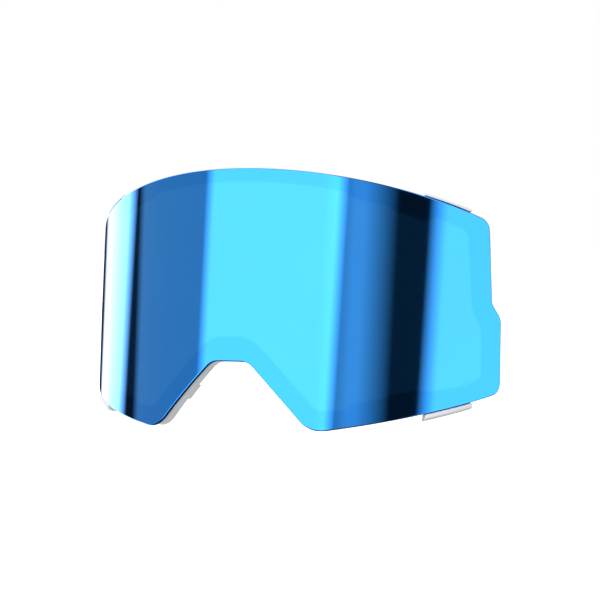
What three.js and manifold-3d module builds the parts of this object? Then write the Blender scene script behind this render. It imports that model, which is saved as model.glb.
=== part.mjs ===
// Quick-change lens unit of a ski goggle, in millimetres, +Z up, the outside face towards -Y.
//
// A large single-curved mirror lens is bonded to a moulded ring, the carrier. Four tabs of the
// carrier stand past the lens's upper and lower edges and four magnets sit in pockets of its rear.
// Inside the carrier a foam spacer and two adhesive rings hold a second, inner lens.
//
// Every layer follows the same cone. A point of the cone is given by s, the distance round it
// from the middle, z, its height along the cone's axis, and depth, how far behind the outer face
// it lies. The whole unit leans back as it does on a face, and stands on its two feet at z = 0.

import * as THREE from 'three';
import * as BufferGeometryUtils from 'three/addons/utils/BufferGeometryUtils.js';
import Module from 'manifold-3d';

const wasm = await Module();
wasm.setup();

// ---- Driving dimensions -------------------------------------------------------------------

const CONE_RADIUS = 108;          // outer face's radius at z = 0
const CONE_SLOPE = 0.07;          // how much the radius grows for each millimetre of height
const RAKE_DEGREES = 11.24;       // lean of the cone's axis, top to the rear

const OUTER_LENS_DEPTH = [0, 1.3];
const BOND_TAPE_DEPTH = [1.45, 1.7];
const CARRIER_DEPTH = [1.85, 5.9];
const FRONT_TAPE_DEPTH = [1.45, 1.65];
const SPACER_DEPTH = [1.8, 4.25];
const BACK_TAPE_DEPTH = [4.4, 4.6];
const INNER_LENS_DEPTH = [4.75, 5.5];

const CARRIER_CHAMFER = 0.7;      // along the carrier's front outer edge
const GASKET_GAP = 0.35;          // between the carrier and the spacer
const SPACER_WIDTH = 2.85;

const TAB_FRONT_DEPTH = 0.2;
const TAB_REAR_DEPTH = 4.4;
const TAB_ROOT_DEPTH = 2.2;       // where the tab passes behind the lens
const TAB_LENS_GAP = 0.4;
const TAB_CHAMFER = 0.8;
const UPPER_TAB = { from: 73.0, to: 92.4, reach: 2.3 };
const LOWER_TAB = { from: 82.4, to: 102.4, reach: 2.85 };

const MAGNET_SIZE = [11, 1.8, 3.4];
const MAGNET_POCKET_GAP = 0.3;
const MAGNET_REAR_DEPTH = 5.75;
const UPPER_MAGNET_S = 68;
const LOWER_MAGNET_S = 73.5;
const MAGNET_INSET = 3.95;

const NUB_Z = [-54.8, -49.2];     // along each flank of the nose
const NUB_WIDTH = 2.2;
const NUB_REAR_DEPTH = 7.3;

// Corners of the right half of the lens's edge, from the top down to the nose. The trim is how
// far before and after the corner its rounding starts.
const CORNERS = [
  { s: 100.4, z: 22.3, trim: 4.0 },
  { s: 105.9, z: -9.3, trim: 1.2 },
  { s: 110.9, z: -14.6, trim: 1.8 },
  { s: 114.7, z: -43.1, trim: 4.2 },
  { s: 36.2, z: -66.8, trim: 6.5 },
  { s: 8.2, z: -40.85, trim: 3.0 }
];

// The edge that follows each corner, and the one over the top. The bulge is the height of its bow.
const EDGES = {
  upperSide: { bulge: 0, segments: 2 },
  step: { bulge: 0, segments: 1 },
  lowerSide: { bulge: 0, segments: 2 },
  bottom: { bulge: 2.3, segments: 16 },
  flank: { bulge: 0, segments: 5 },
  noseTop: { bulge: 0, segments: 3 },
  top: { bulge: 12.3, segments: 40 }
};
const CORNER_SEGMENTS = 4;
const INNER_CORNER_TRIM = 3.6;    // least rounding of the corners of the inner boundaries

// How far inside the lens's edge each boundary runs, edge by edge.
const CARRIER_OUTER = {
  upperSide: 1, step: 1, lowerSide: 1, bottom: 1, flank: 0.4, noseTop: 0.5, top: 1
};
const CARRIER_INNER = {
  upperSide: 6.2, step: 6.2, lowerSide: 6.2, bottom: 4.3, flank: 4.4, noseTop: 6.2, top: 4.0
};

// Extra width of the carrier beside the magnets, as [s, width] steps along the edge.
const TOP_LOBE = [[41.5, 0], [46, 1.7], [59, 1.9], [62, 2.8], [74, 2.8], [77.5, 0]];
const BOTTOM_LOBE = [[50, 0], [53.5, 1.9], [66, 2.1], [69, 2.9], [78, 2.9], [82, 1.2], [96, 0]];

// ---- The cone and the outlines on it --------------------------------------------------------

const rake = THREE.MathUtils.degToRad(-RAKE_DEGREES);

function onCone(s, z, depth) {
  const angle = s / CONE_RADIUS;
  const radius = CONE_RADIUS + CONE_SLOPE * z - depth;
  const point = new THREE.Vector3(radius * Math.sin(angle), -radius * Math.cos(angle), z);
  return point.applyAxisAngle(new THREE.Vector3(1, 0, 0), rake);
}

function ramp(table, x) {
  if (x <= table[0][0]) return table[0][1];
  for (let i = 1; i < table.length; i++) {
    const [x1, y1] = table[i];
    const [x0, y0] = table[i - 1];
    if (x <= x1) return y0 + (y1 - y0) * (x - x0) / (x1 - x0);
  }
  return table[table.length - 1][1];
}

function lobeWidth(edge, s) {
  if (edge === 'top') return ramp(TOP_LOBE, Math.abs(s));
  if (edge === 'bottom') return ramp(BOTTOM_LOBE, Math.abs(s));
  return 0;
}

function widened(insets, extra) {
  return Object.fromEntries(Object.entries(insets).map(([edge, inset]) => [edge, inset + extra]));
}

// All twelve corners, clockwise as seen from the front, each with the name of the edge after it.
function cornerRing() {
  const names = ['upperSide', 'step', 'lowerSide', 'bottom', 'flank', 'noseTop'];
  const right = CORNERS.map((corner, i) => ({ ...corner, edge: names[i] }));
  const leftNames = ['flank', 'bottom', 'lowerSide', 'step', 'upperSide', 'top'];
  const left = [...CORNERS].reverse().map((corner, i) => (
    { s: -corner.s, z: corner.z, trim: corner.trim, edge: leftNames[i] }
  ));
  return [...right, ...left];
}

// Turn of an edge's direction from its chord to its end.
function endTurn(a, b, bulge) {
  const chord = Math.hypot(b.s - a.s, b.z - a.z);
  return 2 * Math.atan(2 * bulge / chord);
}

function turned(direction, angle) {
  const cos = Math.cos(angle);
  const sin = Math.sin(angle);
  return {
    s: direction.s * cos - direction.z * sin,
    z: direction.s * sin + direction.z * cos
  };
}

function unit(a, b) {
  const length = Math.hypot(b.s - a.s, b.z - a.z);
  return { s: (b.s - a.s) / length, z: (b.z - a.z) / length };
}

// The corners moved inwards by each edge's own inset. A rounding takes less than half an edge.
function insetCorners(insets) {
  const ring = cornerRing();
  const count = ring.length;
  const moved = ring.map((corner, i) => {
    const before = ring[(i + count - 1) % count];
    const after = ring[(i + 1) % count];
    const bulgeIn = EDGES[before.edge].bulge;
    const bulgeOut = EDGES[corner.edge].bulge;
    const inward = turned(unit(before, corner), -endTurn(before, corner, bulgeIn));
    const outward = turned(unit(corner, after), endTurn(corner, after, bulgeOut));
    const insetIn = insets[before.edge];
    const insetOut = insets[corner.edge];
    // Lines parallel to both edges: the inside is on the right of a clockwise edge.
    const a = { s: corner.s + inward.z * insetIn, z: corner.z - inward.s * insetIn };
    const b = { s: corner.s + outward.z * insetOut, z: corner.z - outward.s * insetOut };
    const cross = inward.s * outward.z - inward.z * outward.s;
    const along = ((b.s - a.s) * outward.z - (b.z - a.z) * outward.s) / cross;
    const turn = Math.atan2(cross, inward.s * outward.s + inward.z * outward.z);
    const change = (insetIn + insetOut) / 2 * Math.tan(turn / 2);
    const least = insetIn > 3 ? INNER_CORNER_TRIM : Math.min(1, corner.trim);
    return {
      s: a.s + inward.s * along,
      z: a.z + inward.z * along,
      trim: Math.max(least, corner.trim + change),
      edge: corner.edge
    };
  });
  return moved.map((corner, i) => {
    const before = moved[(i + count - 1) % count];
    const after = moved[(i + 1) % count];
    const shorter = Math.min(
      Math.hypot(corner.s - before.s, corner.z - before.z),
      Math.hypot(after.s - corner.s, after.z - corner.z)
    );
    return { ...corner, trim: Math.min(corner.trim, 0.46 * shorter) };
  });
}

// A closed list of [s, z] points. Outlines made here match each other point for point.
function outline(insets, withLobes) {
  const ring = insetCorners(insets);
  const count = ring.length;
  const points = [];
  const pointOnEdge = (i, t) => {
    const a = ring[i];
    const b = ring[(i + 1) % count];
    const direction = unit(a, b);
    const bow = EDGES[a.edge].bulge * (1 - (2 * t - 1) ** 2);
    let s = a.s + (b.s - a.s) * t - direction.z * bow;
    let z = a.z + (b.z - a.z) * t + direction.s * bow;
    if (withLobes) {
      const extra = lobeWidth(a.edge, s);
      s += direction.z * extra;
      z -= direction.s * extra;
    }
    return [s, z];
  };
  for (let i = 0; i < count; i++) {
    const a = ring[i];
    const b = ring[(i + 1) % count];
    const length = Math.hypot(b.s - a.s, b.z - a.z);
    const start = a.trim / length;
    const end = 1 - b.trim / length;
    // The corner's rounding, from the end of the edge before it to the start of this one.
    const previous = ring[(i + count - 1) % count];
    const previousLength = Math.hypot(a.s - previous.s, a.z - previous.z);
    const from = pointOnEdge((i + count - 1) % count, 1 - a.trim / previousLength);
    const to = pointOnEdge(i, start);
    for (let k = 0; k < CORNER_SEGMENTS; k++) {
      const t = k / CORNER_SEGMENTS;
      const [p, q, r] = [(1 - t) ** 2, 2 * t * (1 - t), t ** 2];
      points.push([p * from[0] + q * a.s + r * to[0], p * from[1] + q * a.z + r * to[1]]);
    }
    const segments = EDGES[a.edge].segments;
    for (let k = 0; k < segments; k++) {
      points.push(pointOnEdge(i, start + (end - start) * k / segments));
    }
  }
  return points;
}

// Height of the lens's top or bottom edge at s.
function topEdge(s) {
  const { s: half, z } = CORNERS[0];
  return z + EDGES.top.bulge * (1 - (s / half) ** 2);
}

function bottomEdge(s) {
  const [outer, inner] = [CORNERS[3], CORNERS[4]];
  const t = (Math.abs(s) - inner.s) / (outer.s - inner.s);
  return inner.z + (outer.z - inner.z) * t - EDGES.bottom.bulge * (1 - (2 * t - 1) ** 2);
}

// ---- Solids ----------------------------------------------------------------------------------

function signedVolume(positions, triangles) {
  let volume = 0;
  for (const [a, b, c] of triangles) {
    volume += positions[a].dot(positions[b].clone().cross(positions[c])) / 6;
  }
  return volume;
}

function closedGeometry(positions, triangles) {
  const outwards = signedVolume(positions, triangles) > 0;
  const index = triangles.flatMap(([a, b, c]) => (outwards ? [a, b, c] : [a, c, b]));
  const geometry = new THREE.BufferGeometry();
  const flat = positions.flatMap((p) => [p.x, p.y, p.z]);
  geometry.setAttribute('position', new THREE.Float32BufferAttribute(flat, 3));
  geometry.setIndex(index);
  return geometry;
}

// A ring whose section is a polygon: each corner of the section is an outline at a depth.
function ringGeometry(section) {
  const count = section[0].outline.length;
  const positions = section.flatMap((corner) => (
    corner.outline.map(([s, z]) => onCone(s, z, corner.depth))
  ));
  const triangles = [];
  for (let j = 0; j < section.length; j++) {
    const here = j * count;
    const next = ((j + 1) % section.length) * count;
    for (let i = 0; i < count; i++) {
      const k = (i + 1) % count;
      triangles.push([here + i, here + k, next + k]);
      triangles.push([here + i, next + k, next + i]);
    }
  }
  return closedGeometry(positions, triangles);
}

function flatRing(outer, inner, [front, rear]) {
  return ringGeometry([
    { outline: outer, depth: front },
    { outline: outer, depth: rear },
    { outline: inner, depth: rear },
    { outline: inner, depth: front }
  ]);
}

function chainHeight(chain, s) {
  for (let i = 1; i < chain.length; i++) {
    const [s0, z0] = chain[i - 1];
    const [s1, z1] = chain[i];
    if (s <= s1) return s1 === s0 ? z1 : z0 + (z1 - z0) * (s - s0) / (s1 - s0);
  }
  return chain[chain.length - 1][1];
}

// A filled sheet inside an outline, built of upright strips, which lie flat on the cone.
function sheetGeometry(points, [front, rear], spacing = 6) {
  const count = points.length;
  let left = 0;
  let right = 0;
  points.forEach(([s], i) => {
    if (s < points[left][0]) left = i;
    if (s > points[right][0]) right = i;
  });
  const walk = (from, to, step) => {
    const chain = [];
    for (let i = from; i !== to; i = (i + step + count) % count) chain.push(points[i]);
    chain.push(points[to]);
    return chain;
  };
  const upper = walk(left, right, 1);
  const lower = walk(left, right, -1);
  const marks = [...upper, ...lower].map(([s]) => s).sort((a, b) => a - b);
  const stations = [marks[0]];
  for (const s of marks) {
    const last = stations[stations.length - 1];
    if (s - last < 0.12) continue;
    const parts = Math.ceil((s - last) / spacing);
    for (let k = 1; k <= parts; k++) stations.push(last + (s - last) * k / parts);
  }
  stations[stations.length - 1] = marks[marks.length - 1];
  const positions = [];
  for (const s of stations) {
    const [high, low] = [chainHeight(upper, s), chainHeight(lower, s)];
    const gap = Math.max(high - low, 0.02);
    const middle = (high + low) / 2;
    for (const depth of [front, rear]) {
      positions.push(onCone(s, middle + gap / 2, depth));
      positions.push(onCone(s, middle - gap / 2, depth));
    }
  }
  const triangles = [];
  const quad = (a, b, c, d) => triangles.push([a, b, c], [a, c, d]);
  for (let i = 0; i + 1 < stations.length; i++) {
    const a = 4 * i;
    const b = 4 * (i + 1);
    quad(a, b, b + 1, a + 1);
    quad(a + 2, a + 3, b + 3, b + 2);
    quad(a, a + 2, b + 2, b);
    quad(a + 1, b + 1, b + 3, a + 3);
  }
  const end = 4 * (stations.length - 1);
  quad(0, 1, 3, 2);
  quad(end, end + 2, end + 3, end + 1);
  return closedGeometry(positions, triangles);
}

// A bar along an edge of the lens. Its section is given as [reach past the edge, depth].
function edgeBarGeometry(edgeHeight, upwards, from, to, section) {
  const steps = Math.ceil(Math.abs(to - from) / 4);
  const positions = [];
  for (let i = 0; i <= steps; i++) {
    const s = from + (to - from) * i / steps;
    for (const [reach, depth] of section) {
      positions.push(onCone(s, edgeHeight(s) + (upwards ? reach : -reach), depth));
    }
  }
  const n = section.length;
  const triangles = [];
  for (let i = 0; i < steps; i++) {
    for (let j = 0; j < n; j++) {
      const k = (j + 1) % n;
      const a = i * n;
      const b = (i + 1) * n;
      triangles.push([a + j, a + k, b + k], [a + j, b + k, b + j]);
    }
  }
  const shape = section.map(([reach, depth]) => new THREE.Vector2(reach, depth));
  for (const [a, b, c] of THREE.ShapeUtils.triangulateShape(shape, [])) {
    triangles.push([a, c, b]);
    triangles.push([steps * n + a, steps * n + b, steps * n + c]);
  }
  return consistentGeometry(positions, triangles);
}

// Turns the end caps of a bar the same way round as its sides.
function consistentGeometry(positions, triangles) {
  const edges = new Set();
  for (const [a, b, c] of triangles.slice(0, 2)) {
    edges.add(`${a}-${b}`).add(`${b}-${c}`).add(`${c}-${a}`);
  }
  const done = triangles.slice(0, 2);
  const waiting = triangles.slice(2);
  while (waiting.length > 0) {
    const found = waiting.findIndex(([a, b, c]) => (
      [[a, b], [b, c], [c, a]].some(([p, q]) => edges.has(`${p}-${q}`) || edges.has(`${q}-${p}`))
    ));
    let [a, b, c] = waiting.splice(found, 1)[0];
    if ([[a, b], [b, c], [c, a]].some(([p, q]) => edges.has(`${p}-${q}`))) [b, c] = [c, b];
    edges.add(`${a}-${b}`).add(`${b}-${c}`).add(`${c}-${a}`);
    done.push([a, b, c]);
  }
  return closedGeometry(positions, done);
}

function solidOf(geometry) {
  const plain = geometry.clone();
  plain.deleteAttribute('normal');
  plain.deleteAttribute('uv');
  const merged = BufferGeometryUtils.mergeVertices(plain);
  return new wasm.Manifold(new wasm.Mesh({
    numProp: 3,
    vertProperties: new Float32Array(merged.attributes.position.array),
    triVerts: new Uint32Array(merged.index.array)
  }));
}

function geometryOf(solid) {
  const mesh = solid.getMesh();
  const geometry = new THREE.BufferGeometry();
  const positions = new THREE.Float32BufferAttribute(mesh.vertProperties, 3);
  geometry.setAttribute('position', positions);
  geometry.setIndex(new THREE.Uint32BufferAttribute(mesh.triVerts, 1));
  return geometry;
}

// Where a flat block sits on the carrier's rear, turned to lie along the edge of the lens.
function blockPlacement(s, z, slope, depth) {
  const centre = onCone(s, z, depth);
  const along = onCone(s + 1, z + slope, depth).sub(onCone(s - 1, z - slope, depth)).normalize();
  const outwards = onCone(s, z, depth - 1).sub(centre);
  const across = new THREE.Vector3().crossVectors(along, outwards).normalize();
  const inwards = new THREE.Vector3().crossVectors(across, along).normalize();
  const matrix = new THREE.Matrix4().makeBasis(along, inwards, across.negate());
  if (matrix.determinant() < 0) matrix.makeBasis(along, inwards.negate(), across);
  return matrix.setPosition(centre);
}

function magnetPlacement(side, upper, depth) {
  const s = side * (upper ? UPPER_MAGNET_S : LOWER_MAGNET_S);
  const edge = upper ? topEdge : bottomEdge;
  const z = edge(s) + (upper ? -MAGNET_INSET : MAGNET_INSET);
  const slope = (edge(s + 1) - edge(s - 1)) / 2;
  return blockPlacement(s, z, slope, depth);
}

// ---- The pieces ------------------------------------------------------------------------------

const material = {
  mirror: new THREE.MeshStandardMaterial({ color: 0x0a78d2, roughness: 0.06, metalness: 0.9 }),
  carrier: new THREE.MeshStandardMaterial({ color: 0xe9ebec, roughness: 0.45, metalness: 0 }),
  tape: new THREE.MeshStandardMaterial({ color: 0x2a2c2f, roughness: 0.8, metalness: 0 }),
  foam: new THREE.MeshStandardMaterial({ color: 0x17181a, roughness: 0.95, metalness: 0 }),
  innerLens: new THREE.MeshStandardMaterial({ color: 0x5d6a72, roughness: 0.08, metalness: 0 }),
  magnet: new THREE.MeshStandardMaterial({ color: 0xb9bcc0, roughness: 0.3, metalness: 1 })
};

const carrierOuter = outline(CARRIER_OUTER, false);
const carrierInner = outline(CARRIER_INNER, true);
const spacerOuter = outline(widened(CARRIER_INNER, GASKET_GAP), true);
const spacerInner = outline(widened(CARRIER_INNER, GASKET_GAP + SPACER_WIDTH), true);

function outerLens() {
  const flush = Object.fromEntries(Object.keys(EDGES).map((edge) => [edge, 0]));
  const lensEdge = outline(flush, false);
  return new THREE.Mesh(sheetGeometry(lensEdge, OUTER_LENS_DEPTH), material.mirror);
}

function bondTape() {
  const outer = outline(widened(CARRIER_OUTER, CARRIER_CHAMFER + 0.3), false);
  const inner = outline(widened(CARRIER_INNER, -0.4), true);
  return new THREE.Mesh(flatRing(outer, inner, BOND_TAPE_DEPTH), material.tape);
}

function carrierRing() {
  const [front, rear] = CARRIER_DEPTH;
  const chamfered = outline(widened(CARRIER_OUTER, CARRIER_CHAMFER), false);
  return ringGeometry([
    { outline: chamfered, depth: front },
    { outline: carrierOuter, depth: front + CARRIER_CHAMFER },
    { outline: carrierOuter, depth: rear },
    { outline: carrierInner, depth: rear },
    { outline: carrierInner, depth: front }
  ]);
}

function tab(side, upper) {
  const { from, to, reach } = upper ? UPPER_TAB : LOWER_TAB;
  const section = [
    [-3.2, TAB_ROOT_DEPTH],
    [TAB_LENS_GAP, TAB_ROOT_DEPTH],
    [TAB_LENS_GAP, TAB_FRONT_DEPTH],
    [reach - TAB_CHAMFER, TAB_FRONT_DEPTH],
    [reach, TAB_FRONT_DEPTH + TAB_CHAMFER],
    [reach, TAB_REAR_DEPTH],
    [-3.2, TAB_REAR_DEPTH]
  ];
  return edgeBarGeometry(upper ? topEdge : bottomEdge, upper, side * from, side * to, section);
}

// A short rib on the rear of each nose flank.
function noseNub(side) {
  const [foot, top] = [CORNERS[4], CORNERS[5]];
  const slope = (foot.s - top.s) / (top.z - foot.z);
  const edgeS = (z) => top.s + (top.z - z) * slope + CARRIER_OUTER.flank * 1.4;
  const [low, high] = NUB_Z;
  const corners = [
    [side * edgeS(high), high],
    [side * (edgeS(high) + NUB_WIDTH * 1.4), high],
    [side * (edgeS(low) + NUB_WIDTH * 1.4), low],
    [side * edgeS(low), low]
  ];
  if (side < 0) corners.reverse();
  return sheetGeometry(corners, [CARRIER_DEPTH[1] - 0.6, NUB_REAR_DEPTH], 3);
}

function magnetPocket(side, upper) {
  const [length, thickness, height] = MAGNET_SIZE;
  const deep = thickness + MAGNET_POCKET_GAP + 2;
  const wide = 2 * MAGNET_POCKET_GAP;
  const box = new THREE.BoxGeometry(length + wide, deep, height + wide);
  const depth = MAGNET_REAR_DEPTH - thickness - MAGNET_POCKET_GAP + deep / 2;
  return box.applyMatrix4(magnetPlacement(side, upper, depth));
}

function carrierFrame() {
  let solid = solidOf(carrierRing());
  for (const side of [1, -1]) {
    solid = solid.add(solidOf(tab(side, true)));
    solid = solid.add(solidOf(tab(side, false)));
    solid = solid.add(solidOf(noseNub(side)));
  }
  for (const side of [1, -1]) {
    solid = solid.subtract(solidOf(magnetPocket(side, true)));
    solid = solid.subtract(solidOf(magnetPocket(side, false)));
  }
  return new THREE.Mesh(geometryOf(solid), material.carrier);
}

function magnet(side, upper) {
  const [length, thickness, height] = MAGNET_SIZE;
  const box = new THREE.BoxGeometry(length, thickness, height);
  const depth = MAGNET_REAR_DEPTH - thickness / 2;
  box.applyMatrix4(magnetPlacement(side, upper, depth));
  return new THREE.Mesh(box, material.magnet);
}

function frontTape() {
  const outer = outline(widened(CARRIER_INNER, GASKET_GAP + 0.15), true);
  const inner = outline(widened(CARRIER_INNER, GASKET_GAP + SPACER_WIDTH - 0.15), true);
  return new THREE.Mesh(flatRing(outer, inner, FRONT_TAPE_DEPTH), material.tape);
}

function spacerGasket() {
  return new THREE.Mesh(flatRing(spacerOuter, spacerInner, SPACER_DEPTH), material.foam);
}

function backTape() {
  const outer = outline(widened(CARRIER_INNER, GASKET_GAP + 0.15), true);
  const inner = outline(widened(CARRIER_INNER, GASKET_GAP + SPACER_WIDTH - 0.15), true);
  return new THREE.Mesh(flatRing(outer, inner, BACK_TAPE_DEPTH), material.tape);
}

function innerLens() {
  return new THREE.Mesh(sheetGeometry(spacerOuter, INNER_LENS_DEPTH), material.innerLens);
}

// ---- Assembly --------------------------------------------------------------------------------

const unitGroup = new THREE.Group();

function place(name, mesh) {
  mesh.name = name;
  unitGroup.add(mesh);
}

place('outer_lens', outerLens());
place('carrier_bond_tape', bondTape());
place('carrier_frame', carrierFrame());
place('gasket_tape_front', frontTape());
place('spacer_gasket', spacerGasket());
place('gasket_tape_back', backTape());
place('inner_lens', innerLens());
place('magnet_upper_left', magnet(1, true));
place('magnet_upper_right', magnet(-1, true));
place('magnet_lower_left', magnet(1, false));
place('magnet_lower_right', magnet(-1, false));

// Stand the unit on its feet, with the origin under the middle of its bounding box.
const box = new THREE.Box3().setFromObject(unitGroup);
const middle = box.getCenter(new THREE.Vector3());
for (const mesh of unitGroup.children) {
  mesh.geometry.translate(-middle.x, -middle.y, -box.min.z);
}

export default unitGroup;
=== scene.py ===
import math

import bmesh
import bpy
import numpy as np
from mathutils import Matrix, Vector
from mathutils.geometry import delaunay_2d_cdt


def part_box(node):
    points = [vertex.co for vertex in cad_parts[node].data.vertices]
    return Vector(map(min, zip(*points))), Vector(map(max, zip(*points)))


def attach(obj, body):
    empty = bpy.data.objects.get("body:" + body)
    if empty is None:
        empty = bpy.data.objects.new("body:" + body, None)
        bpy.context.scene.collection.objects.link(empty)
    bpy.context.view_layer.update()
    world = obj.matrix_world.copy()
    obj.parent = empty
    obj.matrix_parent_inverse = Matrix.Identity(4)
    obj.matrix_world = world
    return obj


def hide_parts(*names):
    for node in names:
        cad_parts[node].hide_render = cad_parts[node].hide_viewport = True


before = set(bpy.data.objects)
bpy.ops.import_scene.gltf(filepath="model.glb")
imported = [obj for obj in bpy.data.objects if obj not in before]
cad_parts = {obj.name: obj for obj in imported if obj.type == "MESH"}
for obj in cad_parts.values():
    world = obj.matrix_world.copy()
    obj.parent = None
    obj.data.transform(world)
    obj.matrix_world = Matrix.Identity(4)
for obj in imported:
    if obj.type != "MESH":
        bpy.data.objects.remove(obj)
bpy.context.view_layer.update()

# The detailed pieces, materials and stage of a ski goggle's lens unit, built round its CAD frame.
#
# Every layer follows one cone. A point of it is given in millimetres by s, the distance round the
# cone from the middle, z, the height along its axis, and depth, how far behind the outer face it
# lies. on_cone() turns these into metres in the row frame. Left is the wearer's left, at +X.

MM = 0.001

# ---- The cone and the outlines on it ----------------------------------------------------------

CONE_RADIUS = 108.0
CONE_SLOPE = 0.07
RAKE = math.radians(-11.24)

# Corners of the left half of the lens's edge from the top down to the nose: s, z, rounding.
CORNERS = (
    (100.4, 22.3, 4.0),
    (105.9, -9.3, 1.2),
    (110.9, -14.6, 1.8),
    (114.7, -43.1, 4.2),
    (36.2, -66.8, 6.5),
    (8.2, -40.85, 3.0),
)
EDGE_NAMES = ("upperSide", "step", "lowerSide", "bottom", "flank", "noseTop")
BULGE = dict(upperSide=0, step=0, lowerSide=0, bottom=2.3, flank=0, noseTop=0, top=12.3)
SEGMENTS = dict(upperSide=14, step=4, lowerSide=13, bottom=44, flank=18, noseTop=8, top=110)
CORNER_SEGMENTS = 9
INNER_TRIM = 3.6
MOST_OF_AN_EDGE = 0.46

FLUSH = dict.fromkeys(BULGE, 0.0)
CARRIER_OUTER = dict(upperSide=1, step=1, lowerSide=1, bottom=1, flank=0.4, noseTop=0.5, top=1)
CARRIER_INNER = dict(
    upperSide=6.2, step=6.2, lowerSide=6.2, bottom=4.3, flank=4.4, noseTop=6.2, top=4.0
)
# Extra width of the carrier beside the magnets, as (s, width) steps along the edge.
TOP_LOBE = ((41.5, 0), (46, 1.7), (59, 1.9), (62, 2.8), (74, 2.8), (77.5, 0))
BOTTOM_LOBE = ((50, 0), (53.5, 1.9), (66, 2.1), (69, 2.9), (78, 2.9), (82, 1.2), (96, 0))


def cone_raw(s, z, depth):
    """Points of the cone in millimetres, leaning back, before the unit is stood on its feet."""
    angle = np.asarray(s, float) / CONE_RADIUS
    z = np.asarray(z, float)
    radius = CONE_RADIUS + CONE_SLOPE * z - depth
    x, y = radius * np.sin(angle), -radius * np.cos(angle)
    return np.stack(
        np.broadcast_arrays(
            x,
            y * math.cos(RAKE) - z * math.sin(RAKE),
            y * math.sin(RAKE) + z * math.cos(RAKE),
        ),
        axis=-1,
    )


# The lens's box gives the place: its highest point is the middle of the top edge, and its
# foremost point is on the nose's edge.
LENS_LOW, LENS_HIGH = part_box("outer_lens")
PLACE = np.array(
    [
        0.0,
        LENS_LOW.y / MM - cone_raw(0, CORNERS[-1][1], 0)[1],
        LENS_HIGH.z / MM - cone_raw(0, CORNERS[0][1] + BULGE["top"], 0)[2],
    ]
)


def on_cone(s, z, depth):
    return (cone_raw(s, z, depth) + PLACE) * MM


def cone_normal(s):
    """The outward normal at s, the same at every height and depth."""
    angle = np.asarray(s, float) / CONE_RADIUS
    length = math.hypot(1, CONE_SLOPE)
    x, y = np.sin(angle) / length, -np.cos(angle) / length
    z = np.full_like(x, -CONE_SLOPE / length)
    return np.stack(
        [
            x,
            y * math.cos(RAKE) - z * math.sin(RAKE),
            y * math.sin(RAKE) + z * math.cos(RAKE),
        ],
        axis=-1,
    )


def eased(table, x):
    """A table of steps with smooth ramps between them."""
    if x <= table[0][0]:
        return table[0][1]
    for (x0, y0), (x1, y1) in zip(table, table[1:]):
        if x <= x1:
            t = (x - x0) / (x1 - x0)
            return y0 + (y1 - y0) * t * t * (3 - 2 * t)
    return table[-1][1]


def lobe_width(edge, s):
    if edge == "top":
        return eased(TOP_LOBE, abs(s))
    if edge == "bottom":
        return eased(BOTTOM_LOBE, abs(s))
    return 0.0


def widened(insets, extra):
    return {edge: inset + extra for edge, inset in insets.items()}


def corner_ring():
    left = [(*c, name) for c, name in zip(CORNERS, EDGE_NAMES)]
    after = (*EDGE_NAMES[-2::-1], "top")
    right = [(-s, z, trim, name) for (s, z, trim), name in zip(CORNERS[::-1], after)]
    return left + right


def turned(direction, angle):
    c, s = math.cos(angle), math.sin(angle)
    return np.array([direction[0] * c - direction[1] * s, direction[0] * s + direction[1] * c])


def end_turn(a, b, bulge):
    return 2 * math.atan(2 * bulge / math.dist(a[:2], b[:2]))


def unit(a, b):
    d = np.array(b[:2]) - np.array(a[:2])
    return d / np.hypot(*d)


def inset_corners(insets):
    """The corners moved inwards by each edge's own inset."""
    ring = corner_ring()
    moved = []
    for i, corner in enumerate(ring):
        before, after = ring[i - 1], ring[(i + 1) % len(ring)]
        inward = turned(
            unit(before, corner), -end_turn(before, corner, BULGE[before[3]])
        )
        outward = turned(unit(corner, after), end_turn(corner, after, BULGE[corner[3]]))
        inset_in, inset_out = insets[before[3]], insets[corner[3]]
        at = np.array(corner[:2])
        a = at + np.array([inward[1], -inward[0]]) * inset_in
        b = at + np.array([outward[1], -outward[0]]) * inset_out
        cross = inward[0] * outward[1] - inward[1] * outward[0]
        along = ((b - a)[0] * outward[1] - (b - a)[1] * outward[0]) / cross
        turn = math.atan2(cross, float(inward @ outward))
        change = (inset_in + inset_out) / 2 * math.tan(turn / 2)
        least = INNER_TRIM if inset_in > 3 else min(1, corner[2])
        moved.append((*(a + inward * along), max(least, corner[2] + change), corner[3]))
    out = []
    for i, corner in enumerate(moved):
        before, after = moved[i - 1], moved[(i + 1) % len(moved)]
        shorter = min(math.dist(corner[:2], before[:2]), math.dist(after[:2], corner[:2]))
        trim = min(corner[2], MOST_OF_AN_EDGE * shorter)
        out.append((corner[0], corner[1], trim, corner[3]))
    return out


def outline(insets, lobes):
    """A closed loop of (s, z). Loops made here match each other point for point."""
    ring = inset_corners(insets)

    def on_edge(i, t):
        a, b = ring[i], ring[(i + 1) % len(ring)]
        d = unit(a, b)
        bow = BULGE[a[3]] * (1 - (2 * t - 1) ** 2)
        s = a[0] + (b[0] - a[0]) * t - d[1] * bow
        z = a[1] + (b[1] - a[1]) * t + d[0] * bow
        extra = lobe_width(a[3], s) if lobes else 0.0
        return np.array([s + d[1] * extra, z - d[0] * extra])

    points = []
    for i, a in enumerate(ring):
        b, previous = ring[(i + 1) % len(ring)], ring[i - 1]
        length = math.dist(a[:2], b[:2])
        start, end = a[2] / length, 1 - b[2] / length
        origin = on_edge(
            (i - 1) % len(ring), 1 - a[2] / math.dist(a[:2], previous[:2])
        )
        target = on_edge(i, start)
        corner = np.array(a[:2])
        for k in range(CORNER_SEGMENTS):
            t = k / CORNER_SEGMENTS
            points.append(
                (1 - t) ** 2 * origin + 2 * t * (1 - t) * corner + t * t * target
            )
        count = SEGMENTS[a[3]]
        points += [on_edge(i, start + (end - start) * k / count) for k in range(count)]
    return np.array(points)


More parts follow.
